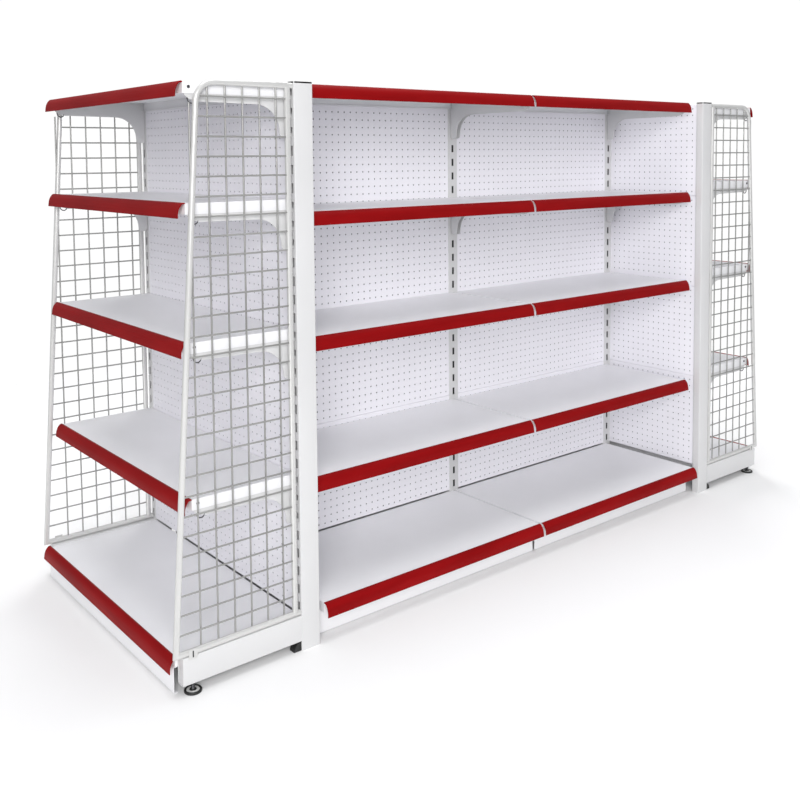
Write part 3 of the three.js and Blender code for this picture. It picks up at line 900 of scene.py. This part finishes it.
def add_column(corner, sx, sy):
    """An end cap's corner: column, base leg with its plug, a black wedge at the column's foot and
    levelling foot.
    """
    node = f"end_column_{corner}"
    low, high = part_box(node)
    inner_x, leg_tip = (low.x, high.x) if sx > 0 else (high.x, low.x)
    outer_y = high.y if sy > 0 else low.y
    inner_y = outer_y - sy * COLUMN_DEEP
    face_x = inner_x + sx * COLUMN_WIDE
    post_low = (min(inner_x, face_x), min(inner_y, outer_y), 0)
    post_high = (max(inner_x, face_x), max(inner_y, outer_y), high.z)
    slot_y = outer_y - sy * COLUMN_SLOT_FROM_FACE
    slotted = ("+X",) if sx > 0 else ("-X",)
    rows = slot_rows(COLUMN_SLOT_TOP)
    add_post(node, post_low, post_high, slotted, slot_y, rows, COLUMN_SHADE_BOX_GAP)

    leg_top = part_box(f"side_grid_{corner}")[0].z - LEG_TO_GRID_GAP
    leg_low = (min(face_x, leg_tip), min(outer_y, inner_y), LEG_UNDERSIDE)
    leg_high = (max(face_x, leg_tip), max(outer_y, inner_y), leg_top)
    leg = leg_mesh(f"{node}_leg_mesh", leg_low, leg_high, "x")
    add(f"{node}_leg", leg, FIXED, [node])
    bm = bmesh.new()
    plug_x = leg_tip - sx * LEG_PLUG_SUNK
    plug_edge = (plug_x, inner_y + sy * LEG_PLUG_INSET, LEG_UNDERSIDE + LEG_PLUG_INSET)
    plug_far = (
        plug_x - sx * LEG_PLUG_THICK, outer_y - sy * LEG_PLUG_INSET, leg_top - LEG_PLUG_INSET
    )
    add_box(bm, plug_edge, plug_far)
    add_fixed(f"{node}_leg_plug", bm, post_white_coat_painted_shade, node)

    # A black quarter-round wedge in the corner between the leg's underside and the column's foot.
    bm = bmesh.new()
    curve = arc((face_x, 0.0), (sx * WEDGE_REACH, WEDGE_HIGH), RIGHT_ANGLE, -RIGHT_ANGLE, 8)
    outline = [(px, inner_y + sy * WEDGE_INSET, pz) for px, pz in [(face_x, 0.0)] + curve]
    add_prism(bm, outline, (0, sy * (COLUMN_DEEP - 2 * WEDGE_INSET), 0))
    add_fixed(f"{node}_black_wedge", bm, black_plastic, node)

    foot = f"foot_{corner}"
    foot_low, foot_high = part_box(foot)
    centre = ((foot_low.x + foot_high.x) / 2, (foot_low.y + foot_high.y) / 2, foot_low.z)
    add_foot(f"levelling_foot_{corner}", centre, foot_high.z, foot, [foot])


for end_name, sx in CORNERS:
    for side, sy in SIDES:
        add_column(f"{end_name}_{side}", sx, sy)


# ---------------------------------------------------------------- side grids


def add_side_grid(corner, sx, sy):
    """A tube frame narrowing upwards with its wires, and the tab that joins it to the leg."""
    node = f"side_grid_{corner}"
    low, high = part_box(node)
    y = (low.y + high.y) / 2
    r = GRID_TUBE_RADIUS
    wall_x, tip_x = (low.x, high.x) if sx > 0 else (high.x, low.x)
    foot_x = tip_x - sx * r
    top_x = foot_x - sx * GRID_TOP_SHRINK
    inner_x = wall_x + sx * (GRID_STAND_OFF + r)
    bottom, top = low.z + r, high.z - r

    def edge(z):
        """X of the outer tube at a height below its bend."""
        return foot_x + (top_x - foot_x) * (z - bottom) / (top - bottom)

    bend = GRID_CORNER - r
    centre_z = top - bend
    centre_x = edge(centre_z) - sx * bend
    loop = [(inner_x, bottom), (foot_x, bottom)]
    loop += arc((centre_x, centre_z), (sx * bend, bend), 0.0, RIGHT_ANGLE, 8)
    loop.append((inner_x, top))
    bm = bmesh.new()
    add_tube_loop(bm, [(px, y, pz) for px, pz in loop], r)
    for z in (bottom, top):
        add_rod(bm, (inner_x, y, z), (wall_x, y, z), r, 14)
    add_fixed(f"grid_tube_{corner}", bm, grid_tube_coat_painted_shade, node, 50)

    tab_x = foot_x - sx * TAB_FROM_TUBE
    tab_y = high.y if sy > 0 else low.y
    near, far = tab_y - sy * 0.0004, tab_y + sy * 0.0012
    bm = bmesh.new()
    tab_low = (tab_x - TAB_HALF_WIDE, near, low.z - 0.008)
    add_box(bm, tab_low, (tab_x + TAB_HALF_WIDE, far, low.z + 0.018))
    add_fixed(f"joint_tab_{corner}", bm, grid_tube_coat_painted_shade, node)
    # The tab's slot is not cut: a thin near-black plate on the tab stands for it, painted shade in
    # place of a hole.
    bm = bmesh.new()
    radii = (TAB_SLOT_RADIUS, TAB_SLOT_RADIUS)
    slot = arc((tab_x, low.z + 0.012), radii, 0.0, math.pi, 12)
    slot += arc((tab_x, low.z - 0.002), radii, math.pi, math.pi, 12)
    slot_y = far - sy * 0.0002
    add_prism(bm, [(px, slot_y, pz) for px, pz in slot], (0, sy * 0.0004, 0))
    add_fixed(f"joint_slot_{corner}", bm, shadow_steel, node)

    bm = bmesh.new()
    wire_y = y - sy * WIRE_HALF_STEP
    for i in range(1, GRID_UPRIGHT_WIRES + 1):
        x = wall_x + sx * i * WIRE_PITCH
        past_bend = (x - centre_x) * sx / bend
        wire_top = top
        if past_bend > 0:
            wire_top = centre_z + bend * math.sqrt(max(0.0, 1 - past_bend * past_bend))
        add_rod(bm, (x, wire_y, bottom), (x, wire_y, wire_top), WIRE_RADIUS)
    wire_y = y + sy * WIRE_HALF_STEP
    z = bottom + WIRE_PITCH
    while z < top - WIRE_TOP_CLEAR:
        limit = edge(z)
        if z > centre_z:
            rise = (z - centre_z) / bend
            limit = centre_x + sx * bend * math.sqrt(max(0.0, 1 - rise * rise))
        add_rod(bm, (inner_x, wire_y, z), (limit, wire_y, z), WIRE_RADIUS)
        z += WIRE_PITCH
    add_fixed(f"grid_wires_{corner}", bm, grid_wire_coat_painted_shade, node, 50)


for end_name, sx in CORNERS:
    for side, sy in SIDES:
        add_side_grid(f"{end_name}_{side}", sx, sy)


# ---------------------------------------------------------------- stage, light and camera


def stage_floor():
    """A pale matt disc that carries the shadow."""
    bm = bmesh.new()
    bmesh.ops.create_circle(bm, cap_ends=True, segments=96, radius=FLOOR_RADIUS)
    material, tree, shader, coords = new_material("pale_floor")
    tone = ramp(tree, noise(tree, coords, 0.4), (0.94, 0.94, 0.94), (0.96, 0.96, 0.96))
    tree.links.new(tone, shader.inputs["Base Color"])
    shader.inputs["Roughness"].default_value = 0.9
    shader.inputs["Specular IOR Level"].default_value = 0.1
    floor = bpy.data.objects.new("floor", finish_mesh(bm, "floor_mesh", material))
    bpy.context.scene.collection.objects.link(floor)


def area_light(name, location, target, size, power, colour):
    """A round light turned towards a target."""
    data = bpy.data.lights.new(name, "AREA")
    data.shape = "DISK"
    data.size = size
    data.energy = power
    data.color = colour
    light = bpy.data.objects.new(name, data)
    light.location = location
    direction = Vector(target) - Vector(location)
    light.rotation_euler = direction.to_track_quat("-Z", "Y").to_euler()
    bpy.context.scene.collection.objects.link(light)


def studio():
    """White to the camera, dimmer as a light, so that white steel keeps its edges on white."""
    world = bpy.data.worlds.new("studio_world")
    world.use_nodes = True
    tree = world.node_tree
    ambient = tree.nodes["Background"]
    ambient.inputs["Color"].default_value = (0.96, 0.97, 1.0, 1)
    ambient.inputs["Strength"].default_value = 0.45
    seen = tree.nodes.new("ShaderNodeBackground")
    seen.inputs["Color"].default_value = (1, 1, 1, 1)
    seen.inputs["Strength"].default_value = 1.02
    path = tree.nodes.new("ShaderNodeLightPath")
    mix = tree.nodes.new("ShaderNodeMixShader")
    tree.links.new(path.outputs["Is Camera Ray"], mix.inputs["Fac"])
    tree.links.new(ambient.outputs["Background"], mix.inputs[1])
    tree.links.new(seen.outputs["Background"], mix.inputs[2])
    tree.links.new(mix.outputs["Shader"], tree.nodes["World Output"].inputs["Surface"])
    bpy.context.scene.world = world
    area_light("key", (-4.5, -5.6, 2.8), LIGHT_AIM, 3.5, 335, (1.0, 0.995, 0.99))
    area_light("back_fill", (4.5, 5.6, 2.8), LIGHT_AIM, 3.5, 240, (1.0, 1.0, 1.0))
    area_light("top", (0.0, 0.0, 6.0), (0, 0, 0), 6.0, 230, (1.0, 1.0, 1.0))
    view = bpy.context.scene.view_settings
    view.view_transform = "Standard"
    view.look = "None"
    view.exposure = 0.0


def photo_camera():
    """A shift-lens camera; yaw turns it from +Y towards +X."""
    yaw, pitch, roll = CAMERA_YAW, CAMERA_PITCH, CAMERA_ROLL
    level = math.cos(pitch)
    forward = Vector((math.sin(yaw) * level, math.cos(yaw) * level, math.sin(pitch)))
    level_right = Vector((math.cos(yaw), -math.sin(yaw), 0))
    level_up = level_right.cross(forward)
    right = level_right * math.cos(roll) + level_up * math.sin(roll)
    up = level_up * math.cos(roll) - level_right * math.sin(roll)
    data = bpy.data.cameras.new("photo_camera")
    data.sensor_width = 36.0
    data.lens = CAMERA_LENS
    data.shift_x, data.shift_y = CAMERA_SHIFT
    data.clip_end = 200
    camera = bpy.data.objects.new("photo_camera", data)
    axes = Matrix((right, up, -forward)).transposed().to_4x4()
    camera.matrix_world = Matrix.Translation(CAMERA_AT) @ axes
    bpy.context.scene.collection.objects.link(camera)
    bpy.context.scene.camera = camera


stage_floor()
studio()
photo_camera()
